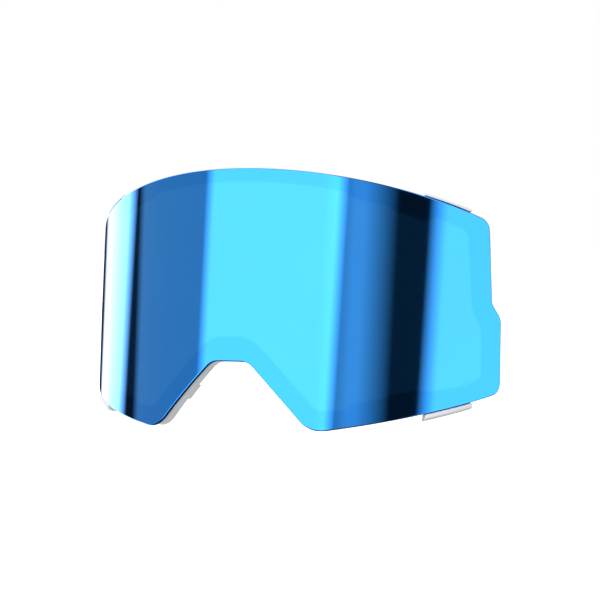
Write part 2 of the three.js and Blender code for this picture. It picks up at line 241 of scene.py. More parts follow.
def top_edge(s):
    half, z, _ = CORNERS[0]
    return z + BULGE["top"] * (1 - (s / half) ** 2)


def bottom_edge(s):
    outer, inner = CORNERS[3], CORNERS[4]
    t = (abs(s) - inner[0]) / (outer[0] - inner[0])
    return inner[1] + (outer[1] - inner[1]) * t - BULGE["bottom"] * (1 - (2 * t - 1) ** 2)


# ---- Mesh helpers -----------------------------------------------------------------------------


def rounded(points, trims, segments):
    """An open line with its inner corners rounded. The two end points only give directions."""
    out = []
    for i in range(1, len(points) - 1):
        before, at, after = (np.array(p, float) for p in points[i - 1 : i + 2])
        trim = trims[i - 1]
        a = at + (before - at) / np.hypot(*(before - at)) * trim
        b = at + (after - at) / np.hypot(*(after - at)) * trim
        for k in range(segments + 1):
            t = k / segments
            out.append((1 - t) ** 2 * a + 2 * t * (1 - t) * at + t * t * b)
    return out


def new_object(name, mesh):
    obj = bpy.data.objects.new(name, mesh)
    bpy.context.scene.collection.objects.link(obj)
    return obj


def mesh_object(name, points, faces):
    mesh = bpy.data.meshes.new(name)
    mesh.from_pydata([tuple(p) for p in points], [], [tuple(f) for f in faces])
    mesh.update()
    obj = new_object(name, mesh)
    face_outwards(obj)
    return obj


def face_outwards(obj):
    bm = bmesh.new()
    bm.from_mesh(obj.data)
    bmesh.ops.recalc_face_normals(bm, faces=bm.faces)
    if bm.calc_volume(signed=True) < 0:
        bmesh.ops.reverse_faces(bm, faces=bm.faces)
    bm.to_mesh(obj.data)
    bm.free()


def smooth(obj, angle=35):
    obj.data.shade_smooth()
    obj.data.set_sharp_from_angle(angle=math.radians(angle))
    modifier = obj.modifiers.new("weighted normals", "WEIGHTED_NORMAL")
    modifier.keep_sharp = True
    modifier.weight = 60


def blended(loop_a, loop_b, parts):
    """Loops strictly between two matched loops."""
    return [loop_a + (loop_b - loop_a) * k / parts for k in range(1, parts)]


def ring_object(name, outer, inner, outer_profile, inner_profile, across=3):
    """A closed ring. outer and inner give a loop for an extra inset; the profiles are lists of
    (extra inset, depth), the outer one from front to rear and the inner one from rear to front."""
    rings = [(outer(e), d) for e, d in outer_profile]
    back = [(inner(e), d) for e, d in inner_profile]
    rear = [(loop, rings[-1][1]) for loop in blended(rings[-1][0], back[0][0], across)]
    front = [(loop, rings[0][1]) for loop in blended(back[-1][0], rings[0][0], across)]
    rings = rings + rear + back + front
    count = len(rings[0][0])
    points = np.concatenate([on_cone(loop[:, 0], loop[:, 1], d) for loop, d in rings])
    faces = []
    for j in range(len(rings)):
        here, there = j * count, (j + 1) % len(rings) * count
        for i in range(count):
            k = (i + 1) % count
            faces.append((here + i, here + k, there + k, there + i))
    return mesh_object(name, points, faces)


def inside(points, loop):
    """Which of the points lie inside a closed loop."""
    x, y = points[:, 0], points[:, 1]
    found = np.zeros(len(points), bool)
    for (x0, y0), (x1, y1) in zip(loop, np.roll(loop, -1, axis=0)):
        crosses = (y0 > y) != (y1 > y)
        with np.errstate(divide="ignore", invalid="ignore"):
            found ^= crosses & (x < (x1 - x0) * (y - y0) / (y1 - y0) + x0)
    return found


def filled(loops, spacing):
    """Triangles that fill the first loop and keep the edges of the loops inside it."""
    edge_points = np.concatenate(loops)
    low, high = edge_points.min(0), edge_points.max(0)
    rows = np.arange(low[1], high[1], spacing * 0.87)
    grid = np.array(
        [
            (s + (spacing / 2 if j % 2 else 0), z)
            for j, z in enumerate(rows)
            for s in np.arange(low[0], high[0], spacing)
        ]
    )
    grid = grid[inside(grid, loops[0])]
    gaps = np.array([np.hypot(*(edge_points - p).T).min() for p in grid])
    grid = grid[gaps > 0.55 * spacing]
    edges, start = [], 0
    for loop in loops:
        count = len(loop)
        edges += [(start + i, start + (i + 1) % count) for i in range(count)]
        start += count
    points = [Vector(p) for p in np.concatenate([edge_points, grid])]
    found = delaunay_2d_cdt(points, edges, [], 0, 1e-5)
    flat = np.array([tuple(p) for p in found[0]])
    faces = [tuple(f) for f in found[2]]
    middles = np.array([flat[list(f)].mean(0) for f in faces])
    kept = inside(middles, loops[0])
    return flat, [f for f, keep in zip(faces, kept) if keep]


def sheet_object(name, edge, depths, front_round, rear_round, inner_loops=(), spacing=3.4):
    """A curved sheet with rounded rims. edge(e) is its outline, e inside its boundary.
    Faces get material 0 on the front, 1 on the rim and 2 on the rear, and exact normals."""
    front_depth, rear_depth = depths
    steps = 5
    # Rounds of the rim, as (inset, depth, turn of the normal away from the front).
    quarter = np.linspace(0, math.pi / 2, steps + 1)
    profile = [
        (front_round * (1 - math.sin(a)), front_depth + front_round * (1 - math.cos(a)), a)
        for a in quarter
    ]
    profile += [
        (rear_round * (1 - math.cos(a)), rear_depth - rear_round * (1 - math.sin(a)), a + math.pi / 2)
        for a in quarter
    ]
    loops = [edge(e) for e, _, _ in profile]
    count = len(loops[0])
    # Outward direction of the edge in (s, z), from its outermost loop.
    along = np.roll(loops[steps], -1, axis=0) - np.roll(loops[steps], 1, axis=0)
    outward = np.stack([-along[:, 1], along[:, 0]], axis=1)
    outward /= np.hypot(*outward.T)[:, None]
    if inside((loops[steps][:1] + outward[:1] * 0.05), loops[steps])[0]:
        outward = -outward
    points, normals, faces, materials = [], [], [], []
    for loop, (_, depth, turn) in zip(loops, profile):
        base = cone_normal(loop[:, 0])
        tip = on_cone(loop[:, 0] + outward[:, 0], loop[:, 1] + outward[:, 1], depth)
        side = tip - on_cone(loop[:, 0], loop[:, 1], depth)
        side -= (side * base).sum(1)[:, None] * base
        side /= np.linalg.norm(side, axis=1)[:, None]
        points.append(on_cone(loop[:, 0], loop[:, 1], depth))
        normals.append(base * math.cos(turn) + side * math.sin(turn))
    for j in range(len(profile) - 1):
        for i in range(count):
            k = (i + 1) % count
            faces.append((j * count + i, j * count + k, (j + 1) * count + k, (j + 1) * count + i))
            materials.append(1)
    total = len(profile) * count
    flat_places = [np.concatenate(loops)]
    for side, (boundary, depth, material) in enumerate(
        ((0, front_depth, 0), (len(profile) - 1, rear_depth, 2))
    ):
        rims = [loops[boundary]] + (list(inner_loops) if side == 0 else [])
        flat, triangles = filled(rims, spacing)
        # The first points are the rim's own, which are already there.
        index = [boundary * count + i for i in range(count)]
        index += [total + i for i in range(len(flat) - count)]
        extra = flat[count:]
        points.append(on_cone(extra[:, 0], extra[:, 1], depth))
        normals.append(cone_normal(extra[:, 0]) * (1 if side == 0 else -1))
        flat_places.append(extra)
        faces += [tuple(index[v] for v in f) for f in triangles]
        materials += [material] * len(triangles)
        total += len(extra)
    mesh = bpy.data.meshes.new(name)
    mesh.from_pydata([tuple(p) for p in np.concatenate(points)], [], faces)
    mesh.polygons.foreach_set("material_index", materials)
    mesh.update()
    wanted = np.concatenate(normals)
    bm = bmesh.new()
    bm.from_mesh(mesh)
    bmesh.ops.recalc_face_normals(bm, faces=bm.faces)
    if bm.calc_volume(signed=True) < 0:
        bmesh.ops.reverse_faces(bm, faces=bm.faces)
    bm.to_mesh(mesh)
    bm.free()
    mesh.shade_smooth()
    mesh.normals_split_custom_set_from_vertices([tuple(n) for n in wanted])
    return new_object(name, mesh), np.concatenate(flat_places)


def rounded_rectangle(length, height, radius, segments=4):
    out = []
    for cx, cy, start in (
        (length / 2 - radius, height / 2 - radius, 0),
        (-length / 2 + radius, height / 2 - radius, 90),
        (-length / 2 + radius, -height / 2 + radius, 180),
        (length / 2 - radius, -height / 2 + radius, 270),
    ):
        for k in range(segments + 1):
            a = math.radians(start + 90 * k / segments)
            out.append((cx + radius * math.cos(a), cy + radius * math.sin(a)))
    return out


def stacked_object(name, placement, levels):
    """A solid of matched flat loops. levels is a list of (loop of (x, z), y), in millimetres,
    which placement, a 4x4 matrix, puts in the row frame."""
    count = len(levels[0][0])
    points = [
        placement @ Vector((x * MM, y * MM, z * MM)) for loop, y in levels for x, z in loop
    ]
    faces = [tuple(range(count)), tuple((len(levels) - 1) * count + i for i in range(count))]
    for j in range(len(levels) - 1):
        for i in range(count):
            k = (i + 1) % count
            faces.append((j * count + i, j * count + k, (j + 1) * count + k, (j + 1) * count + i))
    return mesh_object(name, points, faces)


def block_placement(s, z, slope, depth):
    """Where a flat block sits behind the lens, its x along the edge and its y to the rear."""
    at = on_cone(s, z, depth)
    along = on_cone(s + 1, z + slope, depth) - on_cone(s - 1, z - slope, depth)
    along = Vector(along).normalized()
    outwards = Vector(on_cone(s, z, depth - 1) - at)
    across = along.cross(outwards).normalized()
    rearwards = along.cross(across).normalized()
    if rearwards.dot(outwards) > 0:
        rearwards = -rearwards
    up = along.cross(rearwards)
    matrix = Matrix((along, rearwards, up)).transposed().to_4x4()
    matrix.translation = Vector(at)
    return matrix


def applied(obj):
    """Puts the object's modifiers into its mesh."""
    bpy.context.view_layer.update()
    shown = obj.evaluated_get(bpy.context.evaluated_depsgraph_get())
    mesh = bpy.data.meshes.new_from_object(shown)
    old, obj.data = obj.data, mesh
    obj.modifiers.clear()
    bpy.data.meshes.remove(old)
    return obj


def bevel(obj, width, segments=3, angle=30):
    modifier = obj.modifiers.new("bevel", "BEVEL")
    modifier.width = width * MM
    modifier.segments = segments
    modifier.limit_method = "ANGLE"
    modifier.angle_limit = math.radians(angle)
    return applied(obj)


def combine(obj, others, operation):
    """A boolean with several solids, which are used up."""
    for other in others:
        modifier = obj.modifiers.new("join", "BOOLEAN")
        modifier.operation = operation
        modifier.solver = "MANIFOLD"
        modifier.object = other
    applied(obj)
    for other in others:
        mesh = other.data
        bpy.data.objects.remove(other)
        bpy.data.meshes.remove(mesh)
    return obj


# ---- Materials --------------------------------------------------------------------------------


class Surface:
    """A material with one Principled shader and short ways to add nodes to it."""

    def __init__(self, name, **values):
        self.material = bpy.data.materials.new(name)
        self.material.use_nodes = True
        self.tree = self.material.node_tree
        self.shader = next(n for n in self.tree.nodes if n.type == "BSDF_PRINCIPLED")
        for key, value in values.items():
            self.shader.inputs[key.replace("_", " ")].default_value = value
        self.place = self.node("ShaderNodeTexCoord").outputs["Object"]

    def node(self, kind, inputs=None, **settings):
        made = self.tree.nodes.new(kind)
        for key, value in settings.items():
            setattr(made, key, value)
        for key, value in (inputs or {}).items():
            if isinstance(value, bpy.types.NodeSocket):
                self.tree.links.new(value, made.inputs[key])
            else:
                made.inputs[key].default_value = value
        return made

    def noise(self, size, detail=3.0, roughness=0.5, stretch=None):
        """Noise with features about size millimetres across, from 0 to 1."""
        vector = self.place
        if stretch is not None:
            vector = self.node(
                "ShaderNodeMapping", {"Vector": vector, "Scale": stretch}
            ).outputs[0]
        made = self.node(
            "ShaderNodeTexNoise",
            {
                "Vector": vector,
                "Scale": 1 / (size * MM),
                "Detail": detail,
                "Roughness": roughness,
            },
        )
        return made.outputs[0]

    def cells(self, size):
        """The distance to the nearest cell's middle, with cells about size millimetres across."""
        inputs = {"Vector": self.place, "Scale": 1 / (size * MM)}
        return self.node("ShaderNodeTexVoronoi", inputs).outputs["Distance"]

    def spread(self, value, low, high, start=0.3, end=0.7):
        """The value between start and end, spread from low to high."""
        made = self.node(
            "ShaderNodeMapRange",
            {
                "Value": value,
                "From Min": start,
                "From Max": end,
                "To Min": low,
                "To Max": high,
            },
        )
        return made.outputs[0]

    def mixed(self, value, first, second):
        made = self.node("ShaderNodeMix", data_type="RGBA")
        for key, colour in (("A", first), ("B", second)):
            socket = next(s for s in made.inputs if s.name == key and s.type == "RGBA")
            if isinstance(colour, bpy.types.NodeSocket):
                self.tree.links.new(colour, socket)
            else:
                socket.default_value = (*colour, 1)
        self.tree.links.new(value, made.inputs[0])
        return next(s for s in made.outputs if s.type == "RGBA")

    def sum(self, first, second, operation="ADD"):
        return self.node(
            "ShaderNodeMath", {0: first, 1: second}, operation=operation
        ).outputs[0]

    def drive(self, key, socket):
        self.tree.links.new(socket, self.shader.inputs[key])

    def bump(self, height, millimetres, strength=1.0):
        normal = self.shader.inputs["Normal"]
        made = self.node(
            "ShaderNodeBump",
            {"Height": height, "Strength": strength, "Distance": millimetres * MM},
        )
        if normal.is_linked:
            self.tree.links.new(normal.links[0].from_socket, made.inputs["Normal"])
        self.tree.links.new(made.outputs[0], normal)

    def attribute(self, name):
        return self.node("ShaderNodeAttribute", attribute_name=name).outputs["Fac"]


def mirror_coating():
    """Blue interference mirror under a hard clear coat. Inside the window left by the ring that is
    glued behind it, the colour is painted a little lighter and the metal turned down a hair: painted
    light for the light that comes through the lens from behind, which the ring blocks."""
    m = Surface(
        "blue_mirror",
        Coat_Weight=0.3,
        Coat_Roughness=0.02,
        Coat_IOR=1.5,
    )
    backlit_window = m.attribute("backlit_window")
    drift = m.spread(m.noise(60, 1), 0.0, 1.0)
    # Painted light: the window's blue is a little lighter than the ring's, for light shining through
    # from behind.
    ring = m.mixed(drift, (0.02, 0.28, 0.90), (0.02, 0.29, 0.90))
    inner = m.mixed(drift, (0.03, 0.31, 0.92), (0.03, 0.32, 0.92))
    m.drive("Base Color", m.mixed(backlit_window, ring, inner))
    # Less metal in the window lets its base colour show: more painted light from behind.
    m.drive("Metallic", m.spread(backlit_window, 1.0, 0.984, 0, 1))
    m.drive("Roughness", m.spread(m.noise(22, 4), 0.045, 0.06))
    m.bump(m.noise(9, 1), 0.0015)
    return m.material


def cut_edge():
    """The lens's bare tinted edge, trimmed by a cutter that left fine marks along it."""
    m = Surface("lens_edge", Specular_IOR_Level=0.04)
    marks = m.noise(1.6, 5, 0.6, stretch=(1, 1, 6))
    tone = m.spread(marks, 0, 1)
    m.drive("Base Color", m.mixed(tone, (0.0035, 0.005, 0.010), (0.008, 0.011, 0.020)))
    m.drive("Roughness", m.spread(marks, 0.32, 0.46))
    m.bump(marks, 0.01)
    return m.material


def dark_rear():
    """The smoke polycarbonate as it looks from behind, under its hard coat."""
    m = Surface("smoke_rear", Coat_Weight=1.0, Coat_Roughness=0.03)
    tone = m.spread(m.noise(70, 2), 0, 1)
    m.drive("Base Color", m.mixed(tone, (0.020, 0.017, 0.016), (0.028, 0.023, 0.021)))
    m.drive("Roughness", m.spread(m.noise(18, 4), 0.07, 0.11))
    m.bump(m.noise(10, 1), 0.002)
    return m.material


def carrier_plastic():
    """White moulded nylon: fine spark-eroded texture, slight shade drift and faint rubbing."""
    m = Surface("white_moulding", Specular_IOR_Level=0.45)
    drift = m.spread(m.noise(28, 3), 0, 1)
    shade = m.mixed(drift, (0.80, 0.815, 0.83), (0.85, 0.86, 0.87))
    specks = m.spread(m.noise(0.9, 4, 0.6), 0, 0.35, 0.6, 0.8)
    m.drive("Base Color", m.mixed(specks, shade, (0.74, 0.755, 0.775)))
    m.drive("Roughness", m.spread(m.noise(3.5, 5, 0.6), 0.40, 0.54))
    m.bump(m.noise(0.22, 3, 0.6), 0.012)
    m.bump(m.noise(7, 2), 0.03)
    return m.material


def film_adhesive():
    """Double-sided tape: dark film with a slightly pebbled face."""
    m = Surface("bonding_tape", Specular_IOR_Level=0.4)
    grain = m.noise(0.5, 4, 0.6)
    tone = m.spread(grain, 0, 1)
    m.drive("Base Color", m.mixed(tone, (0.022, 0.023, 0.026), (0.045, 0.046, 0.050)))
    m.drive("Roughness", m.spread(grain, 0.55, 0.8))
    m.bump(grain, 0.02)
    return m.material


def cell_foam():
    """Closed-cell foam: open pits where the cutter went through the cells, their middles painted
    darker as painted shade.
    """
    m = Surface("closed_cell_foam", Specular_IOR_Level=0.3)
    pits = m.cells(0.42)
    fine = m.cells(0.2)
    height = m.sum(pits, m.sum(fine, 0.5, "MULTIPLY"))
    # Painted shade: the colour darkens towards each pit's middle, where the bump is deepest.
    tone = m.spread(pits, 0, 1, 0.1, 0.7)
    m.drive("Base Color", m.mixed(tone, (0.008, 0.008, 0.009), (0.034, 0.035, 0.038)))
    m.drive("Roughness", m.spread(m.noise(2, 3), 0.8, 0.96))
    m.bump(height, 0.09)
    return m.material


def inner_plastic():
    """The inner lens: pale smoke sheet with an anti-fog coat that is a little uneven."""
    m = Surface("anti_fog_sheet", Alpha=0.2, Coat_Weight=1.0, Coat_Roughness=0.04)
    tone = m.spread(m.noise(40, 3), 0, 1)
    m.drive("Base Color", m.mixed(tone, (0.055, 0.062, 0.068), (0.075, 0.082, 0.088)))
    m.drive("Roughness", m.spread(m.noise(14, 5, 0.6), 0.06, 0.13))
    m.bump(m.noise(12, 2), 0.004)
    return m.material


def inner_edge():
    m = Surface("inner_lens_edge")
    cut = m.noise(1.1, 4, 0.6, stretch=(1, 1, 5))
    m.drive("Base Color", m.mixed(m.spread(cut, 0, 1), (0.10, 0.11, 0.12), (0.20, 0.215, 0.23)))
    m.drive("Roughness", m.spread(cut, 0.3, 0.5))
    m.bump(cut, 0.01)
    return m.material


def nickel():
    """Nickel-plated magnet with fine tumbling marks and rubbed patches."""
    m = Surface("nickel_plate", Metallic=1.0)
    marks = m.noise(0.35, 5, 0.65)
    wide = m.noise(3.0, 3)
    m.drive("Base Color", m.mixed(m.spread(wide, 0, 1), (0.56, 0.545, 0.51), (0.66, 0.645, 0.61)))
    rubbed = m.sum(m.sum(marks, 0.6, "MULTIPLY"), m.sum(wide, 0.4, "MULTIPLY"))
    m.drive("Roughness", m.spread(rubbed, 0.16, 0.36))
    m.bump(marks, 0.004)
    return m.material


# ---- The pieces -------------------------------------------------------------------------------

OUTER_LENS_DEPTH = (0.0, 1.3)
BOND_TAPE_DEPTH = (1.32, 1.83)
CARRIER_DEPTH = (1.85, 5.9)
FRONT_TAPE_DEPTH = (1.32, 1.79)
SPACER_DEPTH = (1.8, 4.25)
BACK_TAPE_DEPTH = (4.26, 4.74)
INNER_LENS_DEPTH = (4.75, 5.5)
GASKET_GAP, SPACER_WIDTH = 0.35, 2.85
CHAMFER = 0.7
EJECTORS_TOP_S, EJECTORS_BOTTOM_S = (14, 34, 84, 95), (45, 62, 90, 104)
EJECTORS_SIDE = ((99.6, 4), (109.3, -30))
TAB_OVERLAP = 3.2    # how far a tab runs in behind the lens


def finish_piece(obj, nodes, slot_name, *materials):
    obj.data.materials.clear()
    for material in materials:
        obj.data.materials.append(material)
    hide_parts(*nodes)
    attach(obj, "root")
    return obj


def carrier_outer(e):
    return outline(widened(CARRIER_OUTER, e), False)


def carrier_inner(e):
    return outline(widened(CARRIER_INNER, e), True)


def gasket_line(e):
    return outline(widened(CARRIER_INNER, GASKET_GAP + e), True)


def lens_shell():
    backlit_window = [gasket_line(SPACER_WIDTH - 0.3), gasket_line(SPACER_WIDTH + 0.4)]
    obj, flat = sheet_object(
        "mirror_lens",
        lambda e: outline(widened(FLUSH, e), False),
        OUTER_LENS_DEPTH,
        0.45,
        0.3,
        inner_loops=backlit_window,
    )
    # 1 inside the window's inner loop, 0 outside it: the ramp runs between the two loops. It marks
    # where the mirror is painted lighter, painted light for what shines through from behind. The
    # points are drawn in by a hair, so that those on the inner loop itself count as inside.
    middle = backlit_window[1].mean(0)
    drawn_in = (flat - middle) * 0.9995 + middle
    shown = obj.data.attributes.new("backlit_window", "FLOAT", "POINT")
    shown.data.foreach_set("value", inside(drawn_in, backlit_window[1]).astype(np.float32))
    return finish_piece(
        obj, ["outer_lens"], "outer_lens", mirror_coating(), cut_edge(), dark_rear()
    )


def thin_ring(name, outer, inner, depths, edge_round=0.1):
    front, rear = depths
    outer_profile = rounded(
        [(1, front), (0, front), (0, rear), (1, rear)], [edge_round] * 2, 2
    )
    inner_profile = rounded(
        [(-1, rear), (0, rear), (0, front), (-1, front)], [edge_round] * 2, 2
    )
    obj = ring_object(name, outer, inner, outer_profile, inner_profile, across=2)
    smooth(obj)
    return obj


def foam_ring():
    front, rear = SPACER_DEPTH
    middle, half = (front + rear) / 2, (rear - front) / 2
    bulge, corner = 0.16, 0.22

    def side(sign):
        """Half of the section: a wall that bulges and has soft corners."""
        wall = [
            (-sign * bulge * (1 - (k / 4) ** 2), middle + k / 4 * (half - corner))
            for k in range(-4, 5)
        ]
        first = rounded([(sign * 2, front), (0, front), wall[0]], [corner], 3)
        last = rounded([wall[-1], (0, rear), (sign * 2, rear)], [corner], 3)
        return [*first, *wall[1:-1], *last]

    outer_profile = side(1)
    inner_profile = [tuple(p) for p in reversed(side(-1))]
    obj = ring_object(
        "foam_spacer",
        gasket_line,
        lambda e: gasket_line(SPACER_WIDTH + e),
        outer_profile,
        inner_profile,
        across=3,
    )
    smooth(obj, 50)
    return obj


UPPER_TAB = dict(start=73.0, end=92.4, reach=2.3, edge=top_edge, up=1)
LOWER_TAB = dict(start=82.4, end=102.4, reach=2.85, edge=bottom_edge, up=-1)
TAB_FRONT, TAB_REAR, TAB_ROOT, TAB_GAP, TAB_CHAMFER = 0.2, 4.4, 2.2, 0.4, 0.8
MAGNET = (11.0, 1.8, 3.4)
POCKET_GAP, MAGNET_REAR, MAGNET_INSET = 0.3, 5.75, 3.95
MAGNET_S = {"upper": 68.0, "lower": 73.5}
NUB_Z, NUB_WIDTH, NUB_REAR = (-54.8, -49.2), 2.2, 7.3
EJECTOR_DEPTH = 0.3


def tab(side, start, end, reach, edge, up):
    section = [
        (-TAB_OVERLAP, TAB_ROOT),
        (TAB_GAP, TAB_ROOT),
        (TAB_GAP, TAB_FRONT),
        (reach - TAB_CHAMFER, TAB_FRONT),
        (reach, TAB_FRONT + TAB_CHAMFER),
        (reach, TAB_REAR),
        (-TAB_OVERLAP, TAB_REAR),
    ]
    steps, count = 14, len(section)
    points, faces = [], []
    for i in range(steps + 1):
        s = side * (start + (end - start) * i / steps)
        points += [on_cone(s, edge(s) + up * r, d) for r, d in section]
    for i in range(steps):
        for j in range(count):
            k = (j + 1) % count
            a, b = i * count, (i + 1) * count
            faces.append((a + j, a + k, b + k, b + j))
    faces += [tuple(range(count)), tuple(steps * count + j for j in range(count))]
    obj = mesh_object("tab", points, faces)
    return bevel(obj, 0.22, 3, 25)


def nose_nub(side):
    foot, top = CORNERS[4], CORNERS[5]
    slope = (foot[0] - top[0]) / (top[1] - foot[1])
    low, high = NUB_Z

    def edge_s(z):
        return top[0] + (top[1] - z) * slope + CARRIER_OUTER["flank"] * 1.4

    corners = [
        (edge_s(high), high),
        (edge_s(high) + NUB_WIDTH * 1.4, high),
        (edge_s(low) + NUB_WIDTH * 1.4, low),
        (edge_s(low), low),
    ]
    points = [
        on_cone(side * s, z, d) for d in (CARRIER_DEPTH[1] - 0.6, NUB_REAR) for s, z in corners
    ]
    faces = [(0, 1, 2, 3), (4, 5, 6, 7)]
    faces += [(j, (j + 1) % 4, (j + 1) % 4 + 4, j + 4) for j in range(4)]
    return bevel(mesh_object("nub", points, faces), 0.45, 4, 30)


def magnet_place(side, level, depth):
    edge = top_edge if level == "upper" else bottom_edge
    s = side * MAGNET_S[level]
    z = edge(s) + (-MAGNET_INSET if level == "upper" else MAGNET_INSET)
    return block_placement(s, z, (edge(s + 1) - edge(s - 1)) / 2, depth)


def magnet_pocket(side, level):
    length, thickness, height = MAGNET
    wide = 2 * POCKET_GAP
    floor = MAGNET_REAR - thickness - POCKET_GAP
    loop = rounded_rectangle(length + wide, height + wide, 0.5)
    mouth = rounded_rectangle(length + wide + 0.5, height + wide + 0.5, 0.75)
    above = CARRIER_DEPTH[1] - floor
    levels = [(loop, 0), (loop, above - 0.25), (mouth, above + 0.02), (mouth, above + 2)]
    return stacked_object("pocket", magnet_place(side, level, floor), levels)


def ejector_mark(s, z, radius):
    """A shallow round recess left by an ejector pin on the carrier's rear."""
    turn = [math.tau * k / 28 for k in range(28)]
    loop = [(radius * math.cos(a), radius * math.sin(a)) for a in turn]
    place = block_placement(s, z, 0, CARRIER_DEPTH[1] - EJECTOR_DEPTH)
    return stacked_object("mark", place, [(loop, 0), (loop, 1)])


def carrier():
    front, rear = CARRIER_DEPTH
    outer_profile = rounded(
        [(3, front), (CHAMFER, front), (0, front + CHAMFER), (0, rear), (3, rear)],
        [0.16, 0.22, 0.4],
        4,
    )
    inner_profile = rounded(
        [(-3, rear), (0, rear), (0, front), (-3, front)], [0.3, 0.2], 4
    )
    obj = ring_object(
        "carrier_moulding", carrier_outer, carrier_inner, outer_profile, inner_profile, across=4
    )
    added, cut = [], []
    for side in (1, -1):
        added += [tab(side, **UPPER_TAB), tab(side, **LOWER_TAB), nose_nub(side)]
        cut += [magnet_pocket(side, "upper"), magnet_pocket(side, "lower")]
        for s in EJECTORS_TOP_S:
            cut.append(ejector_mark(side * s, top_edge(s) - 2.55, 0.85))
        for s in EJECTORS_BOTTOM_S:
            cut.append(ejector_mark(side * s, bottom_edge(s) + 2.75, 0.85))
        for s, z in EJECTORS_SIDE:
            cut.append(ejector_mark(side * s, z, 1.1))
    combine(obj, added, "UNION")
    combine(obj, cut, "DIFFERENCE")
    smooth(obj, 32)
    return obj


def magnet_block(side, level):
    length, thickness, height = MAGNET
    name = f"magnet_{level}_{'left' if side > 0 else 'right'}_plated"
    place = magnet_place(side, level, MAGNET_REAR - thickness)
    r = 0.28
    levels = []
    for k in range(5):
        a = math.pi / 2 * k / 4
        levels.append((r * (1 - math.sin(a)), r * (1 - math.cos(a))))
    rings = [
        (rounded_rectangle(length - 2 * e, height - 2 * e, 0.45 - e * 0.5), y)
        for e, y in levels
    ]
    rings += [
        (rounded_rectangle(length - 2 * e, height - 2 * e, 0.45 - e * 0.5), thickness - y)
        for e, y in reversed(levels)
    ]
    obj = stacked_object(name, place, rings)
    smooth(obj)
    return obj


lens = lens_shell()

tape_material, white_plastic, foam_material = film_adhesive(), carrier_plastic(), cell_foam()
nickel_material = nickel()

bond = thin_ring(
    "bond_tape_ring",
    lambda e: outline(widened(CARRIER_OUTER, CHAMFER + 0.3 + e), False),
    lambda e: outline(widened(CARRIER_INNER, -0.4 + e), True),
    BOND_TAPE_DEPTH,
)
finish_piece(bond, ["carrier_bond_tape"], "adhesive", tape_material)

finish_piece(carrier(), ["carrier_frame"], "carrier", white_plastic)

for label, depths in (("front", FRONT_TAPE_DEPTH), ("back", BACK_TAPE_DEPTH)):
    tape = thin_ring(
        f"spacer_tape_{label}",
        lambda e: gasket_line(0.15 + e),
        lambda e: gasket_line(SPACER_WIDTH - 0.15 + e),
        depths,
    )
    finish_piece(tape, [f"gasket_tape_{label}"], "adhesive", tape_material)

foam = foam_ring()
finish_piece(foam, ["spacer_gasket"], "foam", foam_material)

inner_lens, _ = sheet_object("inner_lens_sheet", gasket_line, INNER_LENS_DEPTH, 0.2, 0.2)
inner_material = inner_plastic()
finish_piece(
    inner_lens, ["inner_lens"], "inner_lens", inner_material, inner_edge(), inner_material
)

for side in (1, -1):
    for level in ("upper", "lower"):
        node = f"magnet_{level}_{'left' if side > 0 else 'right'}"
        finish_piece(magnet_block(side, level), [node], "magnet", nickel_material)

# ---- The stage --------------------------------------------------------------------------------

scene = bpy.context.scene
scene.view_settings.view_transform = "Standard"

CAMERA_AZIMUTH, CAMERA_ELEVATION = 27.72, 1.10
CAMERA_DISTANCE = 1.0449
CAMERA_AIM = Vector((0.01299, 0.00670, 0.04958))
LENS_LENGTH = 158.0
ROOM_LIGHT = 0.56


def make_camera():
    a, e = math.radians(CAMERA_AZIMUTH), math.radians(CAMERA_ELEVATION)
    back = Vector((math.sin(a) * math.cos(e), -math.cos(a) * math.cos(e), math.sin(e)))
    data = bpy.data.cameras.new("camera")
    data.lens = LENS_LENGTH
    data.sensor_width = 36
    data.clip_end = 100
    camera = new_object("camera", data)
    camera.rotation_euler = back.to_track_quat("Z", "Y").to_euler()
    camera.location = CAMERA_AIM + back * CAMERA_DISTANCE
    scene.camera = camera


def make_world():
    world = bpy.data.worlds.new("white studio")
    world.use_nodes = True
    background = next(n for n in world.node_tree.nodes if n.type == "BACKGROUND")
    background.inputs["Color"].default_value = (1, 1, 1, 1)
    tree = world.node_tree
    # The background is plain white, and the room's light on the unit is softer than that.
    path = tree.nodes.new("ShaderNodeLightPath")
    level = tree.nodes.new("ShaderNodeMapRange")
    level.inputs["To Min"].default_value = ROOM_LIGHT
    level.inputs["To Max"].default_value = 1.0
    tree.links.new(path.outputs["Is Camera Ray"], level.inputs["Value"])
    tree.links.new(level.outputs[0], background.inputs["Strength"])
    scene.world = world


def make_floor():
    half = 30.0
    floor = mesh_object(
        "floor",
        [(-half, -half, 0), (half, -half, 0), (half, half, 0), (-half, half, 0)],
        [(0, 1, 2, 3)],
    )
    m = Surface("pale_floor", Roughness=0.7, Specular_IOR_Level=0.2)
    m.drive("Base Color", m.mixed(m.noise(400, 3), (0.86, 0.86, 0.86), (0.9, 0.9, 0.9)))
    m.shader.inputs["Emission Color"].default_value = (1, 1, 1, 1)
    m.shader.inputs["Emission Strength"].default_value = 0.75
    floor.data.materials.append(m.material)
    floor.visible_glossy = False
    floor.visible_diffuse = False


# The lens mirrors a few plain white panels, and its coating gives them their blue. Angles are in
# degrees round the unit, 0 straight ahead and plus towards the wearer's left. A panel leans by so
# many degrees round for each degree up, and fades out over its edge.
WHITE_PANELS = (
    {"start": -125, "end": -95, "lean": -0.4, "brightness": 3.0, "edge": 8},
    {"start": -88, "end": -44, "lean": 0.3, "brightness": 0.5, "edge": 5},
    {"start": -44, "end": 20, "lean": 0.2, "brightness": 2.4, "edge": 5},
    {"start": 20, "end": 38, "lean": 0.45, "brightness": 0.8, "edge": 14},
    {"start": 61, "end": 100, "lean": 0.35, "brightness": 2.2, "edge": 8},
)
UNLIT = 0.02
LEAN_MIDDLE, LEAN_REACH = 10, 12    # elevation about which the panels lean, and how far
SHELL_RADIUS = 2.0


